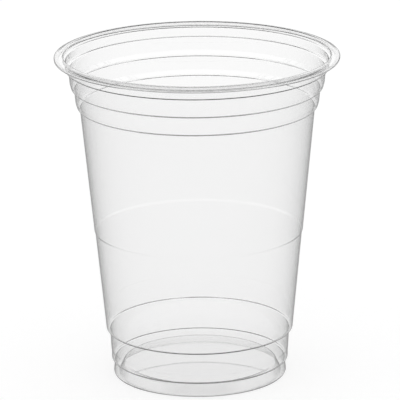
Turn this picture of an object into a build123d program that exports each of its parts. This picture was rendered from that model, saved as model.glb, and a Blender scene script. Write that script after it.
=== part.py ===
"""Clear plastic disposable cold cup, thermoformed from one sheet of PET.

The cup is a thin sheet turned about +Z. Its outer line runs from the middle of the
recessed base, round the foot, up the stepped wall and out over the curled rim. Millimetres,
+Z up, with the origin at the bottom centre.
"""

import os

from build123d import *

# Overall sizes
height = 107.2
rim_radius = 46.0
foot_radius = 28.3
wall = 0.3

# Rim: an upright collar, then a lip that falls from its crest and is curled under at its edge
lip_width = 2.75
lip_fall = 0.55
crest_width = 0.9
curl_depth = 1.15
curl_return = 1.25
collar_depth = 1.95
collar_step = 0.8
lip_bend = 2.0
curl_bend = 0.2

# Stepped bands under the rim: each one's rounded shoulder stands out over a narrow ledge
neck_depth = 4.9
neck_step = 1.0
band_height = 6.25
band_taper = 0.4
band_step = 1.35
shoulder_height = 2.0
shoulder_lean = 0.5
ledge_fall = 0.2
shoulder_bend = 3.0

# Tapered body, with a slight step part of the way down
body_stand = 1.1
body_bottom_height = 16.0
middle_height = 48.6
middle_step = 0.3
middle_bend = 0.8

# Ring below the body, with a faint line round it
ring_stand = 1.0
ring_taper = 0.5
ring_top_height = 15.1
ring_line_height = 7.5
ring_line_step = 0.15
ring_bottom_height = 4.7

# Foot and recessed base panel
foot_flare = 0.4
foot_width = 1.9
panel_draft = 1.7
panel_height = 3.4
panel_bend = 0.8

# Short raised ribs on the panel
rib_count = 12
rib_length = 3.2
rib_width = 0.7
rib_rise = 0.2
rib_circle = 15.0

# Bends of the outer line: at a root the sheet turns outwards, at an edge it turns upwards
root_bend = 0.3
edge_bend = wall + 0.15
ring_bend = wall + 0.3
ledge_bend = wall + 0.5

# Levels and radii that follow from the sizes above
foot_top_radius = foot_radius - foot_flare
ring_bottom_radius = foot_top_radius + ring_stand
ring_top_radius = ring_bottom_radius + ring_taper
body_bottom_radius = ring_top_radius + body_stand
crest_level = height - wall
collar_radius = rim_radius - lip_width
collar_level = height - collar_depth
neck_radius = collar_radius - collar_step
neck_level = height - neck_depth
upper_band_radius = neck_radius - neck_step
upper_ledge_level = neck_level - band_height
lower_band_radius = upper_band_radius - band_taper - band_step
lower_ledge_level = upper_ledge_level - band_height
body_top_radius = lower_band_radius - band_taper - band_step
lip_radius = rim_radius - wall
lip_level = crest_level - lip_fall
curl_level = lip_level - curl_depth + 2 * wall


def body_radius(level):
    """Radius of the straight line from the body's bottom to its top."""
    share = (level - body_bottom_height) / (lower_ledge_level - body_bottom_height)
    return body_bottom_radius + share * (body_top_radius - body_bottom_radius)


def shoulder(radius, ledge_level, next_radius):
    """Corners and bends of one band's lower edge, from the root under its ledge upwards."""
    return [
        (next_radius, ledge_level, root_bend),
        (radius - shoulder_lean, ledge_level + ledge_fall, ledge_bend),
        (radius, ledge_level + shoulder_height, shoulder_bend),
    ]


# Each corner of the outer line is (radius, level, bend radius)
foot_corners = [
    (foot_radius - foot_width - panel_draft, panel_height, panel_bend),
    (foot_radius - foot_width, 0, edge_bend),
    (foot_radius, 0, edge_bend),
    (foot_top_radius, ring_bottom_height, root_bend),
]
ring_corners = [
    (ring_bottom_radius, ring_bottom_height, ring_bend),
    (ring_bottom_radius, ring_line_height, middle_bend),
    (ring_bottom_radius + ring_line_step, ring_line_height + middle_bend, middle_bend),
    (ring_top_radius, ring_top_height, root_bend),
]
body_corners = [
    (body_bottom_radius, ring_top_height, edge_bend),
    (body_radius(middle_height) - middle_step / 2, middle_height - middle_bend, middle_bend),
    (body_radius(middle_height) + middle_step / 2, middle_height, middle_bend),
]
band_corners = [
    *shoulder(lower_band_radius - band_taper, lower_ledge_level, body_top_radius),
    *shoulder(upper_band_radius - band_taper, upper_ledge_level, lower_band_radius),
    (upper_band_radius, neck_level, root_bend),
    (neck_radius, neck_level + ledge_fall, edge_bend),
]
rim_corners = [
    (neck_radius, collar_level, root_bend),
    (collar_radius, collar_level + ledge_fall, edge_bend),
    (collar_radius, crest_level, root_bend),
    (collar_radius + crest_width, crest_level, lip_bend),
    (lip_radius, lip_level, curl_bend),
    (lip_radius, curl_level, curl_bend),
]
corners = foot_corners + ring_corners + body_corners + band_corners + rim_corners

line_points = [
    (0, panel_height),
    *[(radius, level) for radius, level, bend in corners],
    (lip_radius - curl_return, curl_level),
]
bends = [bend for radius, level, bend in corners]

with BuildPart() as cup:
    with BuildSketch(Plane.XZ):
        with BuildLine():
            outer_line = FilletPolyline(*line_points, radius=bends)
            offset(outer_line, amount=wall, side=Side.LEFT)
        make_face()
    revolve(axis=Axis.Z)
    with BuildSketch(Plane.XY.offset(panel_height + wall)):
        with PolarLocations(rib_circle, rib_count):
            SlotOverall(rib_length, rib_width)
    extrude(amount=rib_rise)

cup.part.label = "cup"
os.makedirs("parts", exist_ok=True)
export_step(cup.part, "parts/cup.step")
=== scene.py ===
"""Studio scene of the clear disposable cup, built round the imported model.

Lengths are in metres. The cup is remade here as one fine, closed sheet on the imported
model's sizes, because clear plastic shows every facet of a coarser mesh.
"""

import math

import bpy
import numpy as np
from mathutils import Matrix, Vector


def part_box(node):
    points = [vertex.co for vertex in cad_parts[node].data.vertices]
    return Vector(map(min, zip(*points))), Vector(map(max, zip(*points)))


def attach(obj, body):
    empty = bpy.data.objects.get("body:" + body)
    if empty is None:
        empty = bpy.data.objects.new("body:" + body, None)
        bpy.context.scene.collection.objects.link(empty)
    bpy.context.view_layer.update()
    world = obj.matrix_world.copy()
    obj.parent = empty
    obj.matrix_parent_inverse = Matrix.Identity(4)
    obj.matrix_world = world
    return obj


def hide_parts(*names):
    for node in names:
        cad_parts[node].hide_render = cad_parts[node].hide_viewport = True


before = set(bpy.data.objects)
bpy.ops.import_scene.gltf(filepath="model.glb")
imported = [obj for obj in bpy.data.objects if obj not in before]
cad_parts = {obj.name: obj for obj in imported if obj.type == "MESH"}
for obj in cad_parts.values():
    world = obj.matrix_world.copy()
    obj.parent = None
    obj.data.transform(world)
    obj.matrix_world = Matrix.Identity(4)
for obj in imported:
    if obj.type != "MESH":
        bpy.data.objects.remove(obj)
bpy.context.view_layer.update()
cup_low, cup_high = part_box("cup")

MM = 0.001

# What the plastic shows of the studio. Each stop is (elevation in degrees, brightness).
SEEN_THROUGH_PLASTIC = [(-90, 1.0), (20, 1.0), (32, 0.05), (52, 0.05), (62, 1.0), (90, 1.0)]
MIRRORED_BY_PLASTIC = [
    (-90, 0.3),
    (1, 0.3),
    (8, 1.0),
    (26, 1.0),
    (32, 0.05),
    (52, 0.05),
    (62, 1.0),
    (90, 1.0),
]
WORLD_LIGHT = 0.8

# The table: its matt colour, its lift where it is seen, and what a mirrored look loses
TABLE_MATT = 0.3
TABLE_GLOW = 0.78
TABLE_MIRROR_LOSS = 0.7

# Tint of the plastic face on, painted shade that darkens it at its edge, and where between the two the
# painted shade starts
FACE_TINT = 0.985
EDGE_PAINTED_SHADE = 0.6
EDGE_SHADE_START = 0.85
PLASTIC_IOR = 1.57

# A Mix node's colour sockets share their names with its other kinds, so they go by number
MIX_FACTOR = 0
MIX_FIRST_COLOUR = 6
MIX_SECOND_COLOUR = 7
MIX_COLOUR_RESULT = 2

# ------------------------------------------------------------------ sizes of the cup
height = cup_high[2] - cup_low[2]
rim_radius = (cup_high[0] - cup_low[0]) / 2
foot_radius = 28.3 * MM
wall = 0.3 * MM

lip_width = 2.75 * MM
lip_fall = 0.55 * MM
crest_width = 0.9 * MM
curl_depth = 1.15 * MM
curl_return = 1.25 * MM
collar_depth = 1.95 * MM
collar_step = 0.8 * MM
lip_bend = 2.0 * MM
curl_bend = 0.2 * MM

neck_depth = 4.9 * MM
neck_step = 1.0 * MM
band_height = 6.25 * MM
band_taper = 0.4 * MM
band_step = 1.35 * MM
shoulder_height = 2.0 * MM
shoulder_lean = 0.5 * MM
ledge_fall = 0.2 * MM
shoulder_bend = 3.0 * MM

body_stand = 1.1 * MM
body_bottom_height = 16.0 * MM
middle_height = 48.6 * MM
middle_step = 0.3 * MM
middle_bend = 0.8 * MM

ring_stand = 1.0 * MM
ring_taper = 0.5 * MM
ring_top_height = 15.1 * MM
ring_line_height = 7.5 * MM
ring_line_step = 0.15 * MM
ring_bottom_height = 4.7 * MM

foot_flare = 0.4 * MM
foot_width = 1.9 * MM
panel_draft = 1.7 * MM
panel_height = 3.4 * MM
panel_bend = 0.8 * MM

root_bend = 0.3 * MM
edge_bend = wall + 0.15 * MM
ring_bend = wall + 0.3 * MM
ledge_bend = wall + 0.5 * MM

foot_top_radius = foot_radius - foot_flare
ring_bottom_radius = foot_top_radius + ring_stand
ring_top_radius = ring_bottom_radius + ring_taper
body_bottom_radius = ring_top_radius + body_stand
crest_level = height - wall
collar_radius = rim_radius - lip_width
collar_level = height - collar_depth
neck_radius = collar_radius - collar_step
neck_level = height - neck_depth
upper_band_radius = neck_radius - neck_step
upper_ledge_level = neck_level - band_height
lower_band_radius = upper_band_radius - band_taper - band_step
lower_ledge_level = upper_ledge_level - band_height
body_top_radius = lower_band_radius - band_taper - band_step
lip_radius = rim_radius - wall
lip_level = crest_level - lip_fall
curl_level = lip_level - curl_depth + 2 * wall

# Fineness of the mesh
around = 256
arc_step = math.radians(15)
longest_step = 3.0 * MM


def body_radius(level):
    """Radius of the straight line from the body's bottom to its top."""
    share = (level - body_bottom_height) / (lower_ledge_level - body_bottom_height)
    return body_bottom_radius + share * (body_top_radius - body_bottom_radius)


def shoulder(radius, ledge_level, next_radius):
    """Corners and bends of one band's lower edge, from the root under its ledge upwards."""
    return [
        (next_radius, ledge_level, root_bend),
        (radius - shoulder_lean, ledge_level + ledge_fall, ledge_bend),
        (radius, ledge_level + shoulder_height, shoulder_bend),
    ]


def sheet_corners():
    """(radius, level, bend) of the sheet's outer line, from the base panel to the rim."""
    return [
        (foot_radius - foot_width - panel_draft, panel_height, panel_bend),
        (foot_radius - foot_width, 0, edge_bend),
        (foot_radius, 0, edge_bend),
        (foot_top_radius, ring_bottom_height, root_bend),
        (ring_bottom_radius, ring_bottom_height, ring_bend),
        (ring_bottom_radius, ring_line_height, middle_bend),
        (ring_bottom_radius + ring_line_step, ring_line_height + middle_bend, middle_bend),
        (ring_top_radius, ring_top_height, root_bend),
        (body_bottom_radius, ring_top_height, edge_bend),
        (body_radius(middle_height) - middle_step / 2, middle_height - middle_bend, middle_bend),
        (body_radius(middle_height) + middle_step / 2, middle_height, middle_bend),
        *shoulder(lower_band_radius - band_taper, lower_ledge_level, body_top_radius),
        *shoulder(upper_band_radius - band_taper, upper_ledge_level, lower_band_radius),
        (upper_band_radius, neck_level, root_bend),
        (neck_radius, neck_level + ledge_fall, edge_bend),
        (neck_radius, collar_level, root_bend),
        (collar_radius, collar_level + ledge_fall, edge_bend),
        (collar_radius, crest_level, root_bend),
        (collar_radius + crest_width, crest_level, lip_bend),
        (lip_radius, lip_level, curl_bend),
        (lip_radius, curl_level, curl_bend),
    ]


def stations_along(start, end):
    """Points from start to end, no further apart than the longest step."""
    count = max(1, math.ceil(np.linalg.norm(end - start) / longest_step))
    return [start + (end - start) * i / count for i in range(count + 1)]


def turned(way, angle):
    """A flat direction turned by an angle, left for a positive one."""
    cosine, sine = math.cos(angle), math.sin(angle)
    return np.array([way[0] * cosine - way[1] * sine, way[0] * sine + way[1] * cosine])


def bent_line(start, corners, end):
    """Points and left-hand normals along straight runs joined by tangent arcs."""
    spots = [np.array(start)] + [np.array(c[:2]) for c in corners] + [np.array(end)]
    bends = [0.0] + [c[2] for c in corners] + [0.0]
    points, normals = [], []
    here = spots[0]
    for i in range(1, len(spots)):
        way = (spots[i] - spots[i - 1]) / np.linalg.norm(spots[i] - spots[i - 1])
        left = np.array([-way[1], way[0]])
        if i == len(spots) - 1:
            stop, turn = spots[i], 0.0
        else:
            after = (spots[i + 1] - spots[i]) / np.linalg.norm(spots[i + 1] - spots[i])
            turn = math.atan2(way[0] * after[1] - way[1] * after[0], way @ after)
            stop = spots[i] - way * bends[i] * math.tan(abs(turn) / 2)
        run = stations_along(here, stop)
        points += run
        normals += [left] * len(run)
        here = stop
        if turn:
            side = math.copysign(1.0, turn)
            centre = stop + left * side * bends[i]
            steps = max(2, math.ceil(abs(turn) / arc_step))
            for k in range(1, steps + 1):
                spun = turned(left, turn * k / steps)
                here = centre - spun * side * bends[i]
                if k < steps:
                    points.append(here)
                    normals.append(spun)
    return np.array(points), np.array(normals)


def cup_section():
    """Points and outward normals of the whole closed section, outside first."""
    line, left = bent_line((0, panel_height), sheet_corners(), (lip_radius - curl_return, curl_level))
    keep = [0] + [i for i in range(1, len(line)) if np.linalg.norm(line[i] - line[i - 1]) > 1e-7]
    line, left = line[keep], left[keep]
    inside = line + left * wall
    return np.vstack([line, inside[::-1]]), np.vstack([-left, left[::-1]])


def cup_mesh(name):
    """The section turned round the cup's axis into one closed mesh, with its true normals."""
    section, facing = cup_section()
    section, facing = section[1:-1], facing[1:-1]
    turn = np.arange(around) * 2 * math.pi / around
    ring = np.stack([np.cos(turn), np.sin(turn)], axis=1)
    spots, normals = (
        np.dstack([pair[:, None, :1] * ring, np.repeat(pair[:, 1:], around, axis=1)])
        for pair in (section, facing)
    )
    under, over = len(section) * around, len(section) * around + 1
    vertices = [*spots.reshape(-1, 3).tolist(), (0, 0, panel_height), (0, 0, panel_height + wall)]
    vertex_normals = [*normals.reshape(-1, 3).tolist(), (0, 0, -1), (0, 0, 1)]
    faces = []
    for j in range(len(section) - 1):
        for i in range(around):
            k = (i + 1) % around
            faces.append((j * around + i, j * around + k, (j + 1) * around + k, (j + 1) * around + i))
    last = (len(section) - 1) * around
    for i in range(around):
        k = (i + 1) % around
        faces.append((under, k, i))
        faces.append((over, last + i, last + k))
    mesh = bpy.data.meshes.new(name)
    mesh.from_pydata(vertices, [], faces)
    mesh.shade_smooth()
    mesh.normals_split_custom_set_from_vertices(vertex_normals)
    cup = bpy.data.objects.new(name, mesh)
    bpy.context.collection.objects.link(cup)
    return cup


# ------------------------------------------------------------------ materials
def node_material(name):
    material = bpy.data.materials.new(name)
    material.use_nodes = True
    material.node_tree.nodes.clear()
    return material, material.node_tree.nodes, material.node_tree.links


def clear_plastic():
    """Clear PET: a faint grey tint, and painted shade that darkens it where the sheet turns away from view.
    """
    material, nodes, links = node_material("clear_plastic")
    out = nodes.new("ShaderNodeOutputMaterial")
    shader = nodes.new("ShaderNodeBsdfPrincipled")
    shader.inputs["Roughness"].default_value = 0.0
    shader.inputs["IOR"].default_value = PLASTIC_IOR
    shader.inputs["Transmission Weight"].default_value = 1.0
    # Painted shade: the colour turns darker where the sheet is seen edge on, at outlines and bends
    facing = nodes.new("ShaderNodeLayerWeight")
    facing.inputs["Blend"].default_value = 0.5
    tint_and_edge_shade = nodes.new("ShaderNodeValToRGB")
    tint_and_edge_shade.color_ramp.interpolation = "EASE"
    tint_and_edge_shade.color_ramp.elements[0].position = EDGE_SHADE_START
    tint_and_edge_shade.color_ramp.elements[0].color = (FACE_TINT, FACE_TINT, FACE_TINT, 1)
    tint_and_edge_shade.color_ramp.elements[1].position = 1.0
    tint_and_edge_shade.color_ramp.elements[1].color = (EDGE_PAINTED_SHADE, EDGE_PAINTED_SHADE, EDGE_PAINTED_SHADE, 1)
    links.new(facing.outputs["Facing"], tint_and_edge_shade.inputs["Fac"])
    links.new(tint_and_edge_shade.outputs["Color"], shader.inputs["Base Color"])
    links.new(shader.outputs["BSDF"], out.inputs["Surface"])
    return material


def arithmetic(nodes, links, operation, first, second):
    """A socket holding the result; each of the two values is a socket or a number."""
    node = nodes.new("ShaderNodeMath")
    node.operation = operation
    for socket, value in zip(node.inputs, (first, second)):
        if isinstance(value, (int, float)):
            socket.default_value = value
        else:
            links.new(value, socket)
    return node.outputs[0]


def ray_kinds(nodes, links):
    """Two 0-or-1 sockets: the ray shows the surroundings, and the plastic mirrored it."""
    path = nodes.new("ShaderNodeLightPath")
    seen = arithmetic(nodes, links, "MAXIMUM", path.outputs["Is Camera Ray"], path.outputs["Is Glossy Ray"])
    seen = arithmetic(nodes, links, "MAXIMUM", seen, path.outputs["Is Transmission Ray"])
    direct = arithmetic(nodes, links, "LESS_THAN", path.outputs["Diffuse Depth"], 0.5)
    seen = arithmetic(nodes, links, "MULTIPLY", seen, direct)
    mirrored = arithmetic(nodes, links, "MINIMUM", path.outputs["Glossy Depth"], 1.0)
    return seen, mirrored


def white_floor():
    """A white table: matt, and lifted to full white where it is seen."""
    material, nodes, links = node_material("white_floor")
    out = nodes.new("ShaderNodeOutputMaterial")
    matt = nodes.new("ShaderNodeBsdfDiffuse")
    matt.inputs["Color"].default_value = (TABLE_MATT, TABLE_MATT, TABLE_MATT, 1)
    glow = nodes.new("ShaderNodeEmission")
    both = nodes.new("ShaderNodeAddShader")
    seen, mirrored = ray_kinds(nodes, links)
    lost = arithmetic(nodes, links, "MULTIPLY", mirrored, TABLE_MIRROR_LOSS)
    kept = arithmetic(nodes, links, "SUBTRACT", 1.0, lost)
    lift = arithmetic(nodes, links, "MULTIPLY", seen, kept)
    links.new(arithmetic(nodes, links, "MULTIPLY", lift, TABLE_GLOW), glow.inputs["Strength"])
    links.new(matt.outputs[0], both.inputs[0])
    links.new(glow.outputs[0], both.inputs[1])
    links.new(both.outputs[0], out.inputs["Surface"])
    return material


# ------------------------------------------------------------------ surroundings
def by_elevation(nodes, links, height, stops):
    """A brightness that follows the height of a direction; stops are (elevation, brightness)."""
    ramp = nodes.new("ShaderNodeValToRGB")
    ramp.color_ramp.interpolation = "EASE"
    while len(ramp.color_ramp.elements) < len(stops):
        ramp.color_ramp.elements.new(1.0)
    for element, (elevation, brightness) in zip(ramp.color_ramp.elements, stops):
        element.position = 0.5 + 0.5 * math.sin(math.radians(elevation))
        element.color = (brightness, brightness, brightness, 1)
    links.new(height, ramp.inputs["Fac"])
    return ramp.outputs["Color"]


def studio_world():
    """Soft light for matt things; for the plastic a white wall, a dark gap and a top light."""
    world = bpy.data.worlds.new("studio")
    bpy.context.scene.world = world
    world.use_nodes = True
    nodes, links = world.node_tree.nodes, world.node_tree.links
    nodes.clear()
    out = nodes.new("ShaderNodeOutputWorld")
    light = nodes.new("ShaderNodeBackground")
    light.inputs["Color"].default_value = (1, 1, 1, 1)
    light.inputs["Strength"].default_value = WORLD_LIGHT
    view = nodes.new("ShaderNodeBackground")
    view.inputs["Strength"].default_value = 1.0
    place = nodes.new("ShaderNodeTexCoord")
    parts = nodes.new("ShaderNodeSeparateXYZ")
    links.new(place.outputs["Generated"], parts.inputs[0])
    height = nodes.new("ShaderNodeMath")
    height.operation = "MULTIPLY_ADD"
    height.inputs[1].default_value = 0.5
    height.inputs[2].default_value = 0.5
    links.new(parts.outputs["Z"], height.inputs[0])
    through = by_elevation(nodes, links, height.outputs[0], SEEN_THROUGH_PLASTIC)
    mirror = by_elevation(nodes, links, height.outputs[0], MIRRORED_BY_PLASTIC)
    seen, mirrored = ray_kinds(nodes, links)
    pick = nodes.new("ShaderNodeMix")
    pick.data_type = "RGBA"
    links.new(mirrored, pick.inputs[MIX_FACTOR])
    links.new(through, pick.inputs[MIX_FIRST_COLOUR])
    links.new(mirror, pick.inputs[MIX_SECOND_COLOUR])
    links.new(pick.outputs[MIX_COLOUR_RESULT], view.inputs["Color"])
    mix = nodes.new("ShaderNodeMixShader")
    links.new(seen, mix.inputs[0])
    links.new(light.outputs[0], mix.inputs[1])
    links.new(view.outputs[0], mix.inputs[2])
    links.new(mix.outputs[0], out.inputs["Surface"])


def floor():
    half = 4.0
    level = cup_low[2]
    corners = [(-half, -half, level), (half, -half, level), (half, half, level), (-half, half, level)]
    mesh = bpy.data.meshes.new("floor")
    mesh.from_pydata(corners, [], [(0, 1, 2, 3)])
    table = bpy.data.objects.new("floor", mesh)
    bpy.context.collection.objects.link(table)
    mesh.materials.append(white_floor())


def camera():
    """A long lens from just over the rim, tipped down and a touch out of level."""
    distance = 1.1
    rise = 0.3796
    pitch = math.radians(16.30)
    roll = math.radians(0.56)
    eye = bpy.data.cameras.new("camera")
    eye.sensor_width = 36.0
    eye.lens = 317.4
    eye.clip_start = 0.1
    eye.clip_end = 50.0
    holder = bpy.data.objects.new("camera", eye)
    bpy.context.collection.objects.link(holder)
    place = Matrix.Translation((0.00053, -distance, rise))
    tip = Matrix.Rotation(math.pi / 2 - pitch, 4, "X")
    lean = Matrix.Rotation(-roll, 4, "Z")
    holder.matrix_world = place @ tip @ lean
    bpy.context.scene.camera = holder


cup = cup_mesh("clear_cup")
cup.data.materials.append(clear_plastic())
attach(cup, "root")
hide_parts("cup")

floor()
studio_world()
camera()
bpy.context.scene.view_settings.view_transform = "Standard"
